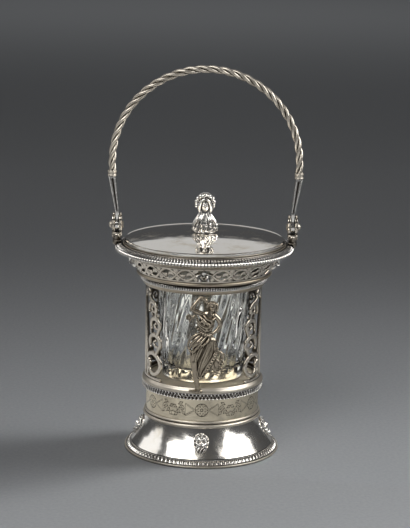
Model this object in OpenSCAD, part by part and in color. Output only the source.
// Covered mustard pot: a silver frame on a flared foot, a glass liner, a lift-off domed lid and a twisted-wire bail.
// Millimetres. The pot stands on Z = 0, its axis is the Z axis and the bail turns about a line along X.

/* [Silver sheet] */
// Thickness of the spun and rolled silver
sheet_t = 0.8; // [0.6:0.1:1.1]
// Gap between silver and glass, and round the lid's bezel
running_gap = 0.4; // [0.3:0.05:0.6]
// Radial gap between a pin or stud and its hole
pin_gap = 0.05; // [0.02:0.01:0.1]

/* [Foot] */
// Outer radius of the base wire
foot_r = 34.9; // [32:0.1:38]
// Height of the base wire
foot_wire_h = 1.1; // [0.8:0.1:2]
// Distance that the base wire stands out past the leaf border
foot_wire_lip = 0.5; // [0.3:0.1:1]
// Height of the leaf border
foot_border_h = 2.3; // [1.6:0.1:3.5]
// Width of the leaf border's slope
foot_border_w = 2.4; // [1.6:0.1:3.2]
// Height of the flared cone
foot_cone_h = 12.2; // [9:0.1:18]
// Depth of the cone's hollow curve below a straight line
foot_cone_dip = 0.7; // [0:0.1:1.2]

/* [Drum] */
// Outer radius of the engraved drum
drum_r = 25.35; // [24.5:0.05:26.5]
// Height of the engraved drum
drum_h = 10.2; // [7:0.1:15]
// Height of the reeded collar under the drum
collar_h = 3.3; // [3:0.1:5]
// Radius of the collar's lower roll
collar_roll_r = 0.95; // [0.7:0.05:1.1]
// Radius of the collar's upper roll
collar_bead_r = 0.6; // [0.4:0.05:0.8]

/* [Gallery] */
// Distance that the gallery ring stands out past the drum
gallery_overhang = 1.95; // [1.6:0.05:2.6]
// Height of the stamped border on the gallery ring
gallery_border_h = 2.8; // [2:0.1:4]
// Thickness of the stamped border on the gallery ring
gallery_border_t = 0.6; // [0.4:0.1:0.9]
// Height of the gallery ring's slope above its border
gallery_slope_h = 2.3; // [1.6:0.1:3.5]
// Clear height between the gallery ring and the neck ring
gallery_h = 42.1; // [36:0.1:50]
// Distance that the scroll panels stand out past the drum
panel_out = 0.85; // [0.6:0.05:1.2]
// Thickness of the scroll panels
panel_t = 1.1; // [0.8:0.1:1.6]
// Half width of a scroll panel, seen square on
panel_half_w = 19.2; // [17:0.1:20]
// Width of the bars of a scroll panel
panel_bar_w = 1.3; // [1:0.05:1.6]

/* [Neck and rim] */
// Height of the neck ring
neck_h = 5.9; // [5:0.1:8]
// Height of the beaded border on the neck ring
bead_border_h = 2.6; // [2:0.1:3.2]
// Thickness of the beaded border on the neck ring
bead_border_t = 0.9; // [0.6:0.1:1.2]
// Radius of the roll at the top of the neck ring
neck_roll_r = 0.85; // [0.6:0.05:1]
// Height of the pierced band
band_h = 7.0; // [5.5:0.1:10]
// Outer radius of the rim
rim_r = 40; // [38.5:0.1:43]
// Height of the rim, from the pierced band to the lid's seat
rim_h = 5.1; // [4.4:0.1:7]
// Height of the leaf border on the rim
rim_border_h = 3.2; // [2.4:0.1:4]
// Width of the leaf border on the rim
rim_border_w = 2.3; // [1.8:0.1:3]
// Width of the rim, from its opening to its edge
rim_w = 7.1; // [6.2:0.1:8.4]

/* [Lid] */
// Distance from the rim's edge in to the lid's edge
lid_inset = 4.2; // [3.9:0.1:4.8]
// Height of the lid's edge above its seat
lid_edge_h = 1.6; // [1.2:0.1:2.5]
// Rise of the dome above the lid's edge
lid_rise = 3.0; // [1.5:0.1:5]
// Depth of the bezel below the lid's seat
lid_bezel_h = 2.1; // [1.5:0.1:2.3]

/* [Finial] */
// Height of the bust
finial_h = 18.1; // [14:0.1:22]
// Width of the bust at the shoulders
finial_w = 10.9; // [9:0.1:13]
// Radius of the stud that holds the bust
stud_r = 1.0; // [0.7:0.05:1.4]
// Radius of the nut under the dome, to its corners
stud_nut_r = 2.6; // [2.2:0.1:3.5]
// Height of the nut
stud_nut_h = 1.6; // [1.2:0.1:2.2]

/* [Lugs] */
// Distance from the lid's edge to the lug
lug_off_lid = 1.0; // [0.9:0.05:1.2]
// Thickness of each cheek of a lug
lug_cheek_t = 1.2; // [0.9:0.05:1.5]
// Gap between the cheeks
lug_gap = 2.0; // [1.6:0.05:2.5]
// Width of a lug, round the rim
lug_w = 6.0; // [5:0.1:8]
// Height of the pivot above the lid's seat
pivot_rise = 7.5; // [6.8:0.1:10]
// Height of a lug's top above the pivot
lug_top_h = 5.5; // [4:0.1:7]
// Depth that a lug reaches down over the leaf border
lug_skirt_h = 1.9; // [1:0.1:2.4]
// Radius of the pivot pin
pin_r = 0.9; // [0.7:0.05:1.1]
// Radius of the rose head on the pin
pin_head_r = 2.0; // [1.6:0.1:2.6]

/* [Bail] */
// Side gap between an arm's eye and the cheeks
eye_side_gap = 0.15; // [0.1:0.05:0.3]
// Outer radius of an arm's eye
eye_r = 2.6; // [2:0.1:2.9]
// Height of an arm, from the pivot to the ferrule
arm_h = 21.8; // [16:0.1:28]
// Width of an arm at the ferrule
arm_top_w = 3.4; // [2.6:0.1:4]
// Depth of an arm from front to back
arm_d = 2.6; // [2:0.1:3.2]
// Distance that the bail stands out past the middle of the lugs
bail_out = 2.3; // [1:0.1:4]
// Height of the ferrule
ferrule_h = 2.6; // [2:0.1:4]
// Thickness of the ferrule's wall round the twisted wires
ferrule_wall = 0.35; // [0.2:0.05:0.8]
// Height of the straight legs of the twisted wire
rope_leg_h = 3.9; // [3:0.1:10]
// Diameter of each of the twisted wires
wire_d = 1.55; // [1.2:0.05:1.6]
// Radius of the helix that the wires follow
wire_helix_r = 0.97; // [0.95:0.01:1.1]
// Turns of the twist from end to end
wire_turns = 9; // [6:0.5:11]

/* [Liner] */
// Outer radius of the glass at its foot
liner_foot_r = 17.2; // [15:0.1:20]
// Outer radius of the glass at the top of its straight wall
liner_neck_r = 19.8; // [18:0.1:21.5]
// Thickness of the glass wall
liner_wall = 1.7; // [1.2:0.1:2.5]
// Thickness of the glass floor
liner_floor_t = 5.0; // [3:0.1:8]

/* [Ornament] */
// Width of a mask on the foot
mask_w = 7.6; // [6:0.1:9]
// Height of a mask, along the cone
mask_h = 9.6; // [7:0.1:10.5]
// Relief of a mask
mask_relief = 2.4; // [1.5:0.1:3]
// Width of a shell on the pierced band
shell_w = 8.4; // [6:0.1:9]
// Relief of a shell
shell_relief = 2.0; // [1.2:0.1:2.6]

/* [Hidden] */
SIDES = ["front", "right", "back", "left"];
ENDS = ["right", "left"];
WIRES = ["a", "b", "c"];
$fn = 128;
silver = "silver";
bright_silver = "gainsboro";
glass = [0.85, 0.92, 0.9, 0.4];

// Heights, from the table up
z_wire = foot_wire_h;
z_foot_border = z_wire + foot_border_h;
z_cone = z_foot_border + foot_cone_h;
z_collar = z_cone + collar_h;
z_drum = z_collar + drum_h;
z_gallery_border = z_drum + gallery_border_h;
z_ledge = z_gallery_border + gallery_slope_h;
z_neck = z_ledge + gallery_h;
z_neck_top = z_neck + neck_h;
z_band = z_neck_top + band_h;
z_seat = z_band + rim_h;
z_lid_edge = z_seat + lid_edge_h;
z_pivot = z_seat + pivot_rise;
z_ferrule = z_pivot + arm_h;

// Radii, from the axis out
foot_border_r = foot_r - foot_wire_lip;
foot_cone_r = foot_border_r - foot_border_w;
cone_top_r = drum_r + 0.25;
floor_r = drum_r - sheet_t;
gallery_r = drum_r + gallery_overhang;
panel_r = drum_r + panel_out;
neck_hole_r = panel_r - panel_t - 0.1;
neck_foot_r = panel_r + 0.7;
neck_body_r = neck_foot_r + 0.7;
neck_roll_out = neck_body_r + 2.6;
band_foot_r = neck_roll_out - 0.2;
rim_hole_r = rim_r - rim_w;
band_top_r = rim_hole_r + 0.8;
rim_body_r = rim_r - rim_border_w;
rim_top_lip = 1.3;

// The dome is the cap of a sphere
lid_r = rim_r - lid_inset;
dome_r = (lid_r * lid_r + lid_rise * lid_rise) / (2 * lid_rise);
dome_z = z_lid_edge + lid_rise - dome_r;
bezel_r = rim_hole_r - running_gap;

// The lugs and the bail
lug_in = lid_r + lug_off_lid;
lug_out = lug_in + 2 * lug_cheek_t + lug_gap;
lug_mid = (lug_in + lug_out) / 2;
lug_floor_z = z_pivot - eye_r - 0.5;
bail_r = lug_mid + bail_out;
rope_r = wire_helix_r + wire_d / 2;
ferrule_w = 2 * (rope_r + pin_gap + ferrule_wall);
rope_z = z_ferrule + ferrule_h / 3;
arch_z = z_ferrule + ferrule_h + rope_leg_h;
rope_leg = arch_z - rope_z;
rope_length = 2 * rope_leg + PI * bail_r;

function bump(x, s) = exp(-pow(x / s, 2));
function mix(a, b, t) = a + (b - a) * t;

// Closed solid between rings of points: rings run along the piece, points run round it
module skin(rings) {
    n = len(rings[0]);
    last = len(rings) - 1;
    polyhedron(
        [for (ring = rings) for (p = ring) p],
        [
            [for (i = [0 : n - 1]) n - 1 - i],
            for (j = [0 : last - 1]) for (i = [0 : n - 1])
                each [[j * n + i, j * n + (i + 1) % n, (j + 1) * n + (i + 1) % n],
                      [j * n + i, (j + 1) * n + (i + 1) % n, (j + 1) * n + i]],
            [for (i = [0 : n - 1]) last * n + i],
        ]);
}

// Closed solid on a grid: the front stands on the back by a relief, and both share the same outline
module relief(front, back) {
    rows = len(front);
    cols = len(front[0]);
    back0 = rows * cols;
    function f(j, i) = j * cols + i;
    function b(j, i) = back0 + j * cols + i;
    polyhedron(
        concat([for (row = front) each row], [for (row = back) each row]),
        [
            for (j = [0 : rows - 2]) for (i = [0 : cols - 2])
                each [[f(j, i), f(j + 1, i + 1), f(j, i + 1)], [f(j, i), f(j + 1, i), f(j + 1, i + 1)],
                      [b(j, i), b(j, i + 1), b(j + 1, i + 1)], [b(j, i), b(j + 1, i + 1), b(j + 1, i)]],
            for (j = [0 : rows - 2])
                each [[f(j, 0), b(j, 0), b(j + 1, 0)], [f(j, 0), b(j + 1, 0), f(j + 1, 0)],
                      [f(j, cols - 1), b(j + 1, cols - 1), b(j, cols - 1)],
                      [f(j, cols - 1), f(j + 1, cols - 1), b(j + 1, cols - 1)]],
            for (i = [0 : cols - 2])
                each [[f(0, i), b(0, i + 1), b(0, i)], [f(0, i), f(0, i + 1), b(0, i + 1)],
                      [f(rows - 1, i), b(rows - 1, i), b(rows - 1, i + 1)],
                      [f(rows - 1, i), b(rows - 1, i + 1), f(rows - 1, i + 1)]],
        ]);
}

// Foot

module foot_wire() {
    round_r = foot_wire_h / 2;
    color(silver) rotate_extrude() {
        translate([foot_cone_r - sheet_t, 0]) square([foot_r - round_r - foot_cone_r + sheet_t, foot_wire_h]);
        translate([foot_r - round_r, round_r]) circle(round_r);
    }
}

module foot_border() {
    toe = 0.4;
    color(silver) rotate_extrude() polygon([
        [foot_cone_r - sheet_t, z_wire], [foot_border_r, z_wire], [foot_border_r, z_wire + toe],
        [foot_cone_r, z_foot_border], [foot_cone_r - sheet_t, z_foot_border],
    ]);
}

// Radius of the cone's outside: a straight line from bottom to top, hollowed by a parabola
function cone_out(z) =
    let (t = (z - z_foot_border) / foot_cone_h)
    mix(foot_cone_r, cone_top_r, t) - foot_cone_dip * 4 * t * (1 - t);

module foot_cone() {
    steps = 10;
    heights = [for (i = [0 : steps]) z_foot_border + foot_cone_h * i / steps];
    color(bright_silver) rotate_extrude() polygon(concat(
        [for (z = heights) [cone_out(z), z]],
        [for (i = [steps : -1 : 0]) [cone_out(heights[i]) - sheet_t, heights[i]]]));
}

// Relief of a mask: a goes across from -1 to 1 and b up from -1 at the beard to 1 at the hair
function mask_face(a, b) =
    let (
        nose = 0.62 * bump(a, 0.2) * bump(b + 0.02, 0.26),
        brow = 0.3 * bump(b - 0.36, 0.12) * bump(a, 0.75),
        eyes = -0.3 * bump(abs(a) - 0.36, 0.17) * bump(b - 0.18, 0.12),
        cheeks = 0.22 * bump(abs(a) - 0.5, 0.25) * bump(b + 0.12, 0.22),
        mouth = -0.2 * bump(b + 0.36, 0.07) * bump(a, 0.4),
        hair = 0.24 * max(0, b - 0.4) / 0.6 * (1 + cos(360 * 2.5 * a)),
        beard = 0.2 * max(0, -0.42 - b) / 0.58 * (1 + cos(360 * 2 * a)))
    0.5 + nose + brow + eyes + cheeks + mouth + hair + beard;

// A mask lies on the front of the cone, and its half width narrows towards the beard
module foot_mask() {
    cols = 14;
    rows = 16;
    mid_t = 0.5;
    slope_len = norm([foot_cone_h, foot_cone_r - cone_top_r]);
    lean = atan2(foot_cone_r - cone_top_r, foot_cone_h);
    function at(i, j, stand_off) =
        let (
            a = 2 * i / cols - 1,
            b = 2 * j / rows - 1,
            half_w = mask_w / 2 * sqrt(max(0.02, 1 - pow(abs(b), 2.6))) * mix(0.74, 1, (b + 1) / 2),
            z = z_foot_border + foot_cone_h * (mid_t + b * mask_h / 2 / slope_len),
            angle = a * half_w / cone_out(z) * 180 / PI,
            edge = sqrt(max(0, 1 - pow(a, 4))) * sqrt(max(0, 1 - pow(b, 4))),
            out = stand_off + (stand_off > 0.1 ? (mask_relief - stand_off) * edge * mask_face(a, b) / 1.3 : 0),
            r = cone_out(z) + out * cos(lean))
        [r * sin(angle), -r * cos(angle), z + out * sin(lean)];
    back_gap = 0.02;
    rim_t = 0.25;
    color(silver) relief(
        [for (j = [0 : rows]) [for (i = [0 : cols]) at(i, j, rim_t)]],
        [for (j = [0 : rows]) [for (i = [0 : cols]) at(i, j, back_gap)]]);
}

// Drum

module reeded_collar() {
    color(silver) rotate_extrude() {
        translate([floor_r, z_cone]) square([sheet_t + 0.2, collar_h]);
        translate([drum_r + 0.3, z_cone + collar_roll_r]) circle(collar_roll_r);
        translate([drum_r, z_collar - collar_bead_r]) circle(collar_bead_r);
    }
}

module drum() {
    color(silver) rotate_extrude() translate([floor_r, z_collar]) square([sheet_t, drum_h]);
}

// Gallery

module gallery_ring() {
    color(silver) rotate_extrude() gallery_section();
}

module gallery_section() {
    polygon([
        [floor_r, z_drum], [gallery_r - gallery_border_t, z_drum],
        [gallery_r - gallery_border_t, z_gallery_border], [gallery_r, z_gallery_border],
        [panel_r + 0.1, z_ledge], [floor_r, z_ledge],
    ]);
}

module gallery_border() {
    color(silver) rotate_extrude()
        translate([gallery_r - gallery_border_t, z_drum]) square([gallery_border_t, gallery_border_h]);
}

module liner_floor() {
    plate_t = 1.0;
    color(bright_silver) translate([0, 0, z_ledge - plate_t]) cylinder(r = floor_r, h = plate_t);
}

// The loops of a scroll panel, from the bottom up: distance out as a share of the panel's half width,
// height as a share of the gallery, and outer radius
PANEL_LOOPS = [
    [0.68, 0.175, 5.9], [0.745, 0.41, 4.6], [0.76, 0.6, 4.0], [0.65, 0.775, 3.9], [0.4, 0.915, 3.3],
];
spire_foot = 0.4;
spire_top = 0.09;

// Outline of a scroll panel, seen square on: a spire of two leaning bars with loops along its sides
module panel_pattern() {
    module bar(p, q) {
        along = q - p;
        translate(p) rotate(atan2(along[1], along[0])) translate([0, -panel_bar_w / 2]) square([norm(along), panel_bar_w]);
    }
    base_half_w = panel_half_w * 0.95;
    translate([-base_half_w, 0]) square([2 * base_half_w, panel_bar_w]);
    translate([-panel_bar_w / 2, 0]) square([panel_bar_w, gallery_h]);
    translate([-panel_half_w * 0.5, gallery_h - panel_bar_w]) square([panel_half_w, panel_bar_w]);
    for (side = [-1, 1]) {
        bar([side * panel_half_w * spire_foot, 0], [side * panel_half_w * spire_top, gallery_h]);
        for (l = PANEL_LOOPS) {
            middle = [side * l[0] * panel_half_w, l[1] * gallery_h];
            spire_x = mix(spire_foot, spire_top, l[1]) * panel_half_w * side;
            translate(middle) difference() {
                circle(l[2]);
                circle(l[2] - panel_bar_w);
            }
            translate(middle + [0, -l[2] / 3]) circle(l[2] / 3.2);
            bar(middle + [0, -l[2] / 3], middle + [0, panel_bar_w / 2 - l[2]]);
            bar([spire_x, middle[1]], [middle[0] - side * (l[2] - panel_bar_w / 2), middle[1]]);
        }
    }
}

module scroll_panel() {
    color(silver) intersection() {
        translate([0, 0, z_ledge]) rotate([90, 0, 90]) linear_extrude(panel_r + 1) panel_pattern();
        difference() {
            translate([0, 0, z_ledge]) cylinder(r = panel_r, h = gallery_h);
            translate([0, 0, z_ledge - 1]) cylinder(r = panel_r - panel_t, h = gallery_h + 2);
        }
    }
}

// A dancer stands on the gallery ring on one foot and holds the neck ring with a raised hand.
// Her points are [across, out, up] from the sole of her foot, in hundredths of her height.
dancer_stand_h = 1.9;

module dancer() {
    foot = [-5.0, 3.0, 1.6];
    toe = [-11.5, 4.4, 1.8];
    ankle = [-4.8, 2.1, 6.0];
    knee = [-9.6, 4.6, 32.6];
    hip = [0.5, 2.8, 53.2];
    waist = [0.9, 2.3, 62.8];
    chest = [3.2, 3.0, 73.4];
    neck = [6.9, 2.5, 83.5];
    head = [8.7, 3.0, 88.1];
    shoulder_up = [-0.5, 2.3, 80.3];
    elbow_up = [-10.8, 2.8, 86.5];
    hand_up = [-1.1, 0.7, 99.1];
    shoulder_down = [10.3, 2.5, 77.1];
    elbow_down = [16.1, 2.8, 67.9];
    hand_down = [10.1, 4.4, 61.5];
    castanet = [-14.0, 3.2, 77.5];
    fold = [-9.2, 3.2, 52.3];
    fold_end = [-13.5, 2.5, 44.5];
    skirt_low = [-1.8, 3.7, 17.0];
    skirt_side = [13.8, 2.8, 40.8];
    scarf = [18.1, 2.1, 37.2];
    back_knee = [6.0, 2.8, 28.9];
    back_foot = [16.5, 2.1, 22.0];
    module limb(p, q, p_r, q_r) {
        hull() {
            translate(p) sphere(p_r, $fn = 12);
            translate(q) sphere(q_r, $fn = 12);
        }
    }
    module drawing() {
        limb(foot, toe, 1.9, 1.3);
        limb(ankle, foot, 1.7, 2.1);
        limb(ankle, knee, 1.7, 2.9);
        limb(knee, hip, 3.4, 5.3);
        limb(hip, waist, 5.3, 3.7);
        limb(waist, chest, 3.7, 5.0);
        limb(shoulder_up, shoulder_down, 2.8, 2.8);
        limb(chest, neck, 4.1, 1.8);
        limb(neck, head, 2.1, 3.9);
        limb(head, head + [0.0, 0.2, 1.6], 4.0, 3.7);
        limb(shoulder_up, elbow_up, 2.5, 1.8);
        limb(elbow_up, hand_up, 1.8, 1.7);
        limb(shoulder_down, elbow_down, 2.3, 1.7);
        limb(elbow_down, hand_down, 1.7, 1.5);
        limb(castanet, elbow_up, 2.8, 1.1);
        limb(hip, fold, 4.6, 2.5);
        limb(fold, fold_end, 2.5, 1.1);
        limb(hip, skirt_low, 5.3, 1.8);
        limb(hip, skirt_side, 5.3, 2.3);
        limb(skirt_side, skirt_low, 2.3, 1.8);
        limb(knee, skirt_low, 3.2, 1.8);
        limb(skirt_side, scarf, 2.1, 1.4);
        limb(scarf, back_foot, 1.4, 1.3);
        limb(hip, back_knee, 4.6, 3.2);
        limb(back_knee, back_foot, 2.5, 1.4);
    }
    hundredth = (gallery_h + dancer_stand_h) / 100;
    color(silver) difference() {
        translate([0, -panel_r + 0.1, z_ledge - dancer_stand_h]) scale(hundredth)
            multmatrix([[1, 0, 0, 0], [0, -1, 0, 0], [0, 0, 1, 0], [0, 0, 0, 1]]) drawing();
        translate([0, 0, z_drum]) cylinder(r = panel_r - panel_t, h = gallery_h + neck_h + drum_h);
        rotate_extrude() gallery_section();
        rotate_extrude() neck_section();
    }
}

// Neck and rim

module neck_section() {
    z_bead = z_neck + neck_h - 2 * neck_roll_r - bead_border_h;
    polygon([
        [neck_hole_r, z_neck], [neck_foot_r, z_neck], [neck_body_r, z_bead],
        [neck_body_r, z_neck_top - 2 * neck_roll_r], [neck_roll_out - neck_roll_r, z_neck_top - 2 * neck_roll_r],
        [neck_roll_out - neck_roll_r, z_neck_top], [neck_hole_r, z_neck_top],
    ]);
    translate([neck_roll_out - neck_roll_r, z_neck_top - neck_roll_r]) circle(neck_roll_r);
}

module neck_ring() {
    color(silver) rotate_extrude() neck_section();
}

module bead_border() {
    color(silver) rotate_extrude()
        translate([neck_body_r, z_neck_top - 2 * neck_roll_r - bead_border_h]) square([bead_border_t, bead_border_h]);
}

function band_out(z) = mix(band_foot_r, band_top_r, (z - z_neck_top) / band_h);

// One eighth of the pierced pattern, drawn flat: two reeds beside the shell, a crossing of ribbons and an eye
module pierced_eighth(arc) {
    ribbon = 0.75;
    half_h = band_h / 2 - 1.0;
    reed_x = arc * 0.27;
    cross_x = arc * 0.56;
    eye_x = arc * 0.86;
    reach = arc * 0.17;
    for (side = [-1, 1]) translate([reed_x, side * 0.95]) square([arc * 0.15, 0.8], center = true);
    for (turn = [0, 180]) translate([cross_x, 0]) rotate(turn) {
        polygon([[-reach, half_h], [reach, half_h], [0, ribbon]]);
        polygon([[ribbon, 0], [reach + ribbon / 2, half_h - ribbon], [reach + ribbon / 2, ribbon - half_h]]);
    }
    translate([eye_x, 0]) intersection_for (side = [-1, 1]) translate([0, side * half_h]) circle(half_h * 1.75);
}

module pierced_band() {
    mid_z = (z_neck_top + z_band) / 2;
    mid_r = band_out(mid_z);
    arc = mid_r * PI / 4;
    wrap = 45;
    color(silver) difference() {
        rotate_extrude() polygon([
            [band_foot_r, z_neck_top], [band_top_r, z_band],
            [band_top_r - sheet_t, z_band], [band_foot_r - sheet_t, z_neck_top],
        ]);
        for (quarter = [0 : 3]) for (side = [0, 1]) rotate(90 * quarter - 90) mirror([0, side, 0])
            pierced_holes(mid_z, mid_r, arc, wrap);
    }
}

// Each hole is cut straight out from the axis, at its own angle
module pierced_holes(mid_z, mid_r, arc, wrap) {
    cuts = 3;
    edges = [0.15, 0.36, 0.77, 0.98];
    for (i = [0 : cuts - 1]) {
        middle = (edges[i] + edges[i + 1]) / 2;
        rotate(wrap * middle) translate([mid_r - 4, 0, mid_z]) rotate([90, 0, 90]) linear_extrude(8)
            intersection() {
                translate([-arc * middle, 0]) pierced_eighth(arc);
                translate([arc * (edges[i] - middle), -band_h]) square([arc * (edges[i + 1] - edges[i]), 2 * band_h]);
            }
    }
}

// A shell stands on the front of the pierced band: ribs fan out from its foot and its tip curls forward
module band_shell() {
    cols = 12;
    rows = 8;
    ribs = 3.5;
    lean = atan2(band_top_r - band_foot_r, band_h);
    inset = 0.6;
    function at(i, j, back) =
        let (
            a = 2 * i / cols - 1,
            t = j / rows,
            z = mix(z_neck_top + inset, z_band - inset, t),
            half_w = shell_w / 2 * sqrt(max(0.05, 1 - pow(2 * t - 1, 4))),
            angle = a * half_w / band_out(z) * 180 / PI,
            edge = sqrt(max(0, 1 - a * a)) * sqrt(max(0, 1 - pow(2 * t - 1, 6))),
            fan = 0.72 + 0.28 * cos(360 * ribs * a / 2),
            out = back ? 0.02 : 0.2 + (shell_relief - 0.2) * edge * fan * mix(1, 0.6, t),
            r = band_out(z) + out * cos(lean))
        [r * sin(angle), -r * cos(angle), z - out * sin(lean)];
    color(bright_silver) relief(
        [for (j = [0 : rows]) [for (i = [0 : cols]) at(i, j, false)]],
        [for (j = [0 : rows]) [for (i = [0 : cols]) at(i, j, true)]]);
}

module rim_flange() {
    color(silver) rotate_extrude() polygon([
        [rim_hole_r, z_band], [band_top_r + 0.2, z_band], [rim_body_r, z_seat - rim_border_h],
        [rim_body_r, z_seat], [rim_hole_r, z_seat],
    ]);
}

module rim_border_section() {
    toe = 0.4;
    polygon([
        [rim_body_r, z_seat - rim_border_h], [rim_r - toe / 2, z_seat - rim_border_h],
        [rim_r, z_seat - rim_border_h + toe], [rim_r - rim_top_lip / 4, z_seat - rim_border_h / 2],
        [rim_r - rim_top_lip, z_seat], [rim_body_r, z_seat],
    ]);
}

module rim_border() {
    color(silver) rotate_extrude() rim_border_section();
}

// Lugs and pivots, drawn at the right-hand end

module lug() {
    top_r = lug_w / 2;
    z_top = z_pivot + lug_top_h;
    z_low = z_seat - lug_skirt_h;
    color(silver) difference() {
        intersection() {
            translate([lug_in, -lug_w / 2, z_low]) cube([lug_out - lug_in, lug_w, z_top - z_low]);
            translate([lug_in, 0, 0]) rotate([90, 0, 90]) linear_extrude(lug_out - lug_in) {
                translate([-top_r, z_low]) square([lug_w, z_top - top_r - z_low]);
                translate([0, z_top - top_r]) circle(top_r);
            }
        }
        translate([lug_in + lug_cheek_t, -lug_w, lug_floor_z]) cube([lug_gap, 2 * lug_w, z_top]);
        translate([0, 0, z_pivot]) rotate([0, 90, 0]) cylinder(r = pin_r + pin_gap / 2, h = 2 * rim_r);
        rotate_extrude() rim_border_section();
        translate([0, 0, z_low - 1]) cylinder(r = rim_body_r, h = z_seat - z_low + 1);
    }
}

module pivot_pin() {
    collar_t = 0.5;
    dome_out = 1.0;
    color(bright_silver) translate([0, 0, z_pivot]) rotate([0, 90, 0]) {
        translate([0, 0, lug_in - 0.35]) cylinder(r = pin_r, h = lug_out - lug_in + 0.35);
        translate([0, 0, lug_out]) cylinder(r = pin_head_r, h = collar_t);
        translate([0, 0, lug_out + collar_t]) intersection() {
            translate([0, 0, -0.6]) sphere(dome_out + 0.6);
            cylinder(r = pin_head_r, h = 2 * dome_out);
        }
    }
}

module pivot_nut() {
    nut_t = 0.6;
    color(bright_silver) translate([lug_in - nut_t, 0, z_pivot]) rotate([0, 90, 0]) difference() {
        cylinder(r = pin_r + 0.7, h = nut_t);
        translate([0, 0, nut_t - 0.45]) cylinder(r = pin_r + pin_gap, h = nut_t);
    }
}

// Bail

// An arm runs straight up between the cheeks and leans out above them, with a sunk panel on each face
module bail_arm() {
    eye_t = lug_gap - 2 * eye_side_gap;
    panel_in = 0.45;
    panel_deep = 0.5;
    z_foot = z_pivot + eye_r * 0.6;
    z_bend = z_pivot + lug_top_h + 0.4;
    function leaning(inset, z_from, z_to) = [
        [lug_mid + eye_t / 2 - inset, z_from], [bail_r + arm_top_w / 2 - inset, z_to],
        [bail_r - arm_top_w / 2 + inset, z_to], [lug_mid - eye_t / 2 + inset, z_from],
    ];
    color(silver) difference() {
        union() {
            translate([lug_mid - eye_t / 2, 0, z_pivot]) rotate([0, 90, 0]) cylinder(r = eye_r, h = eye_t);
            translate([0, arm_d / 2, 0]) rotate([90, 0, 0]) linear_extrude(arm_d) polygon(concat(
                [[lug_mid - eye_t / 2, z_foot], [lug_mid + eye_t / 2, z_foot]], leaning(0, z_bend, z_ferrule)));
        }
        translate([0, 0, z_pivot]) rotate([0, 90, 0]) cylinder(r = pin_r + pin_gap, h = 2 * rim_r);
        for (side = [-1, 1]) translate([0, side * (arm_d / 2) + panel_deep, 0]) rotate([90, 0, 0])
            linear_extrude(2 * panel_deep) polygon(leaning(panel_in, z_bend + 0.6, z_ferrule - 0.6));
    }
}

module bail_ferrule() {
    color(bright_silver) translate([bail_r, 0, z_ferrule]) difference() {
        translate([-ferrule_w / 2, -ferrule_w / 2, 0]) cube([ferrule_w, ferrule_w, ferrule_h]);
        translate([0, 0, rope_z - z_ferrule]) cylinder(r = rope_r + pin_gap, h = ferrule_h);
    }
}

// Middle of the twisted wires and the direction out of the arch, at a distance along the bail
function rope_at(s) =
    s < rope_leg ? [[bail_r, 0, rope_z + s], [1, 0, 0]]
    : s > rope_length - rope_leg ? [[-bail_r, 0, rope_z + rope_length - s], [-1, 0, 0]]
    : let (angle = (s - rope_leg) / bail_r * 180 / PI, out = [cos(angle), 0, sin(angle)])
      [[0, 0, arch_z] + bail_r * out, out];

// One wire: a helix round the middle of the bail. Its section is widened by the lean of the helix
module bail_wire(start) {
    sides = 8;
    rings_per_turn = 11;
    rings = round(wire_turns * rings_per_turn);
    lean = atan(2 * PI * wire_helix_r * wire_turns / rope_length);
    function ring_at(s) =
        let (
            place = rope_at(s),
            turn = start + 360 * wire_turns * s / rope_length,
            back = [0, 1, 0],
            out = cos(turn) * place[1] + sin(turn) * back,
            along = cos(turn) * back - sin(turn) * place[1])
        [for (k = [0 : sides - 1]) let (a = 360 * k / sides)
            place[0] + wire_helix_r * out + wire_d / 2 * (cos(a) * out - sin(a) * along / cos(lean))];
    color(silver) skin([for (j = [0 : rings]) ring_at(rope_length * j / rings)]);
}

// Lid

module dome_under() {
    translate([0, 0, dome_z]) sphere(dome_r - sheet_t, $fn = 400);
}

module lid_dome() {
    color(bright_silver) difference() {
        intersection() {
            translate([0, 0, dome_z]) sphere(dome_r, $fn = 400);
            translate([0, 0, z_seat]) cylinder(r = lid_r, h = lid_edge_h + lid_rise + 1);
        }
        dome_under();
        cylinder(r = stud_r + pin_gap, h = 2 * z_seat);
    }
}

module lid_rim() {
    color(silver) intersection() {
        translate([0, 0, z_seat]) difference() {
            cylinder(r = lid_r, h = lid_edge_h + lid_rise);
            translate([0, 0, -1]) cylinder(r = bezel_r, h = lid_edge_h + lid_rise + 2);
        }
        dome_under();
    }
}

module lid_bezel() {
    color(silver) translate([0, 0, z_seat - lid_bezel_h]) difference() {
        cylinder(r = bezel_r, h = lid_bezel_h + lid_edge_h - sheet_t);
        translate([0, 0, -1]) cylinder(r = bezel_r - sheet_t, h = lid_bezel_h + lid_edge_h + 1);
    }
}

// Bust: shares of the height, of half the shoulder width across, and of the same from front to back
BUST = [
    [0, 0.9, 0.72], [0.05, 0.96, 0.76], [0.15, 1, 0.74], [0.24, 0.9, 0.68], [0.33, 0.7, 0.6],
    [0.39, 0.56, 0.52], [0.46, 0.48, 0.48], [0.53, 0.46, 0.48], [0.58, 0.66, 0.66], [0.66, 0.8, 0.8],
    [0.74, 0.84, 0.86], [0.82, 0.83, 0.86], [0.89, 0.74, 0.78], [0.95, 0.54, 0.58], [1, 0.16, 0.18],
];

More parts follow.
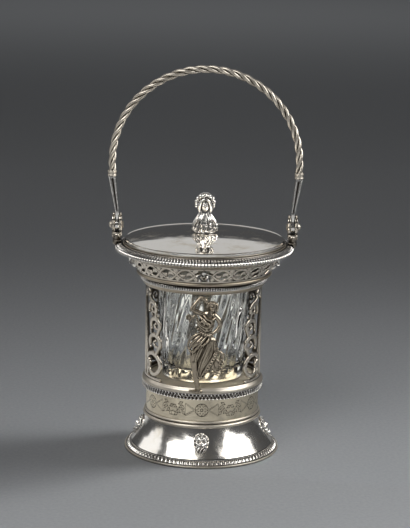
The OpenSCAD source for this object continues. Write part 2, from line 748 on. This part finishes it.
module finial_bust() {
    sides = 28;
    hair_waves = 8;
    z_foot = dome_z + dome_r;
    half_w = finial_w / 2;
    sink = 0.6;
    function section(row) = [for (k = [0 : sides - 1]) let (
            a = 360 * k / sides,
            hair = row[0] > 0.56 ? 0.06 * cos(hair_waves * a) : 0,
            face = row[0] > 0.56 && row[0] < 0.86 ? -0.2 * bump(a - 270, 42) : 0,
            nose = 0.2 * bump(row[0] - 0.69, 0.05) * bump(a - 270, 12),
            grow = 1 + hair + face + nose)
        [half_w * row[1] * grow * cos(a), half_w * row[2] * grow * sin(a), z_foot + finial_h * row[0]]];
    foot = [for (k = [0 : sides - 1]) let (a = 360 * k / sides)
        [half_w * BUST[0][1] * cos(a), half_w * BUST[0][2] * sin(a), z_foot - sink]];
    color(bright_silver) difference() {
        skin(concat([foot], [for (row = BUST) section(row)]));
        translate([0, 0, dome_z]) sphere(dome_r, $fn = 400);
        cylinder(r = stud_r + pin_gap, h = z_foot + finial_h * 0.3);
    }
}

module finial_stud() {
    z_foot = dome_z + dome_r;
    below = sheet_t + stud_nut_h + 0.4;
    color(silver) translate([0, 0, z_foot - below]) cylinder(r = stud_r, h = below + finial_h * 0.28);
}

module finial_nut() {
    z_under = dome_z + dome_r - sheet_t;
    color(silver) difference() {
        translate([0, 0, z_under - stud_nut_h]) cylinder(r = stud_nut_r, h = stud_nut_h + 1, $fn = 6);
        translate([0, 0, z_under - stud_nut_h - 1]) cylinder(r = stud_r + pin_gap, h = stud_nut_h + 3);
        difference() {
            translate([0, 0, z_under - stud_nut_h]) cylinder(r = 2 * stud_nut_r, h = stud_nut_h + 2);
            dome_under();
        }
    }
}

// Liner: a heavy floor, a tapering wall and a bell mouth that opens out to the rim
module glass_liner() {
    z_mouth = z_neck - 4;
    z_lip = z_seat - lid_bezel_h - running_gap;
    z_floor = z_ledge + liner_floor_t;
    lip_r = rim_hole_r - running_gap;
    steps = 9;
    bell = 2.2;
    foot_round = 0.8;
    hollow_round = 2.0;
    hollow_r = liner_foot_r - liner_wall;
    flare = [for (i = [0 : steps]) let (t = i / steps)
        [mix(liner_neck_r, lip_r, pow(t, bell)), mix(z_mouth, z_lip, t)]];
    inside = [for (i = [steps : -1 : 0]) flare[i] - [liner_wall, 0]];
    color(glass) rotate_extrude() polygon(concat(
        [[0, z_ledge], [liner_foot_r - foot_round, z_ledge], [liner_foot_r, z_ledge + foot_round]],
        flare, inside,
        [[hollow_r, z_floor + hollow_round], [hollow_r - hollow_round * 0.3, z_floor + hollow_round * 0.3],
         [hollow_r - hollow_round, z_floor], [0, z_floor]]));
}

// What is drawn

foot_wire();
foot_border();
foot_cone();
for (i = [0 : 3]) rotate(90 * i) foot_mask();
reeded_collar();
drum();
gallery_ring();
gallery_border();
liner_floor();
for (i = [0, 1]) rotate(180 * i) scroll_panel();
dancer();  // dancer_front
rotate(180) dancer();  // dancer_back
neck_ring();
bead_border();
pierced_band();
for (i = [0 : 3]) rotate(90 * i) band_shell();
rim_flange();
rim_border();
for (i = [0, 1]) rotate(180 * i) lug();
for (i = [0, 1]) rotate(180 * i) pivot_pin();
for (i = [0, 1]) rotate(180 * i) pivot_nut();
for (i = [0, 1]) rotate(180 * i) bail_arm();
for (i = [0, 1]) rotate(180 * i) bail_ferrule();
for (i = [0 : 2]) bail_wire(120 * i);
lid_dome();
lid_rim();
lid_bezel();
finial_bust();
finial_stud();
finial_nut();
glass_liner();
